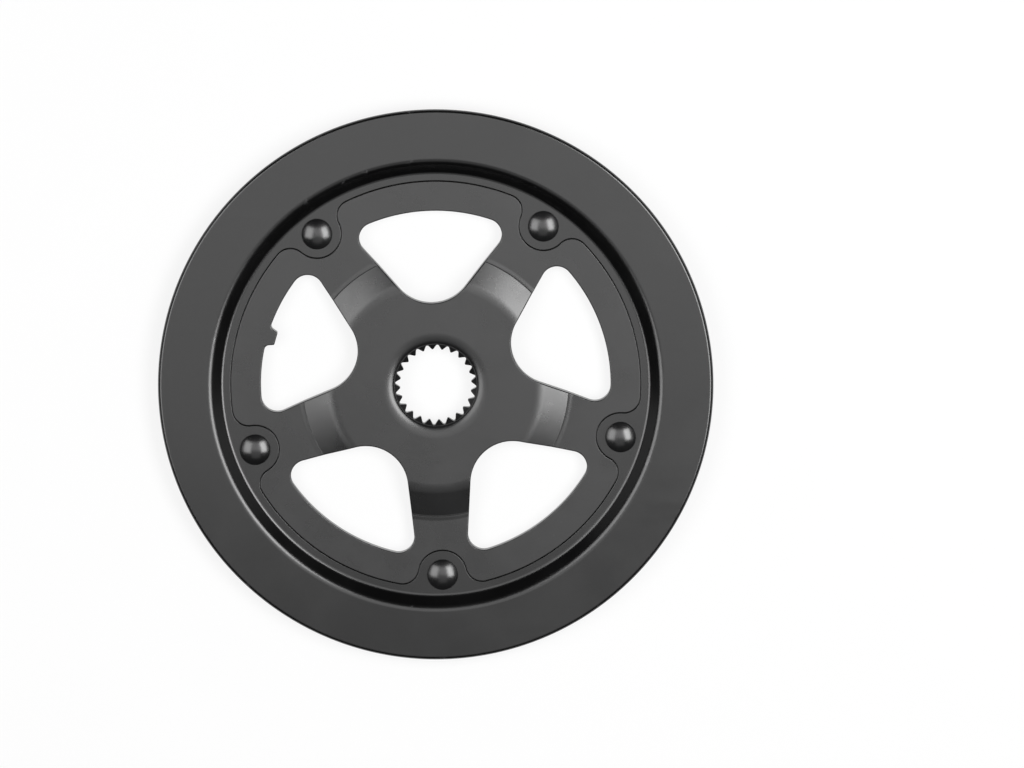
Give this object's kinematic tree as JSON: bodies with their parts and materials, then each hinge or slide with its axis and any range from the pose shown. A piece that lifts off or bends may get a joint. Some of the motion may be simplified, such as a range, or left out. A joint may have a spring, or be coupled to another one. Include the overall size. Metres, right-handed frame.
{
  "type": "bicycle sprocket with chain guard",
  "caption": "Front sprocket for a bicycle chain: a stamped steel wheel with arms and a splined hub, and a wide chain guard ring riveted flush to its rim.",
  "frame": {"origin": "on the axis of rotation, in the plane of the hub's rear face, which seats on the shaft's shoulder", "axes": "+Z along the axis of rotation towards the outer side, which carries the guard; +X to the right and +Y up as the wheel is seen from that side"},
  "size_m": [0.175, 0.175, 0.0083],
  "materials": {
    "coated_steel": "satin black coating on stamped steel",
    "guard_plastic": "satin black moulded plastic",
    "rivet_steel": "semi-gloss black rivet heads"
  },
  "bodies": {
    "root": {"chainwheel": "coated_steel", "chain_guard": "guard_plastic", "guard_rivets": "rivet_steel"}
  },
  "joints": []
}
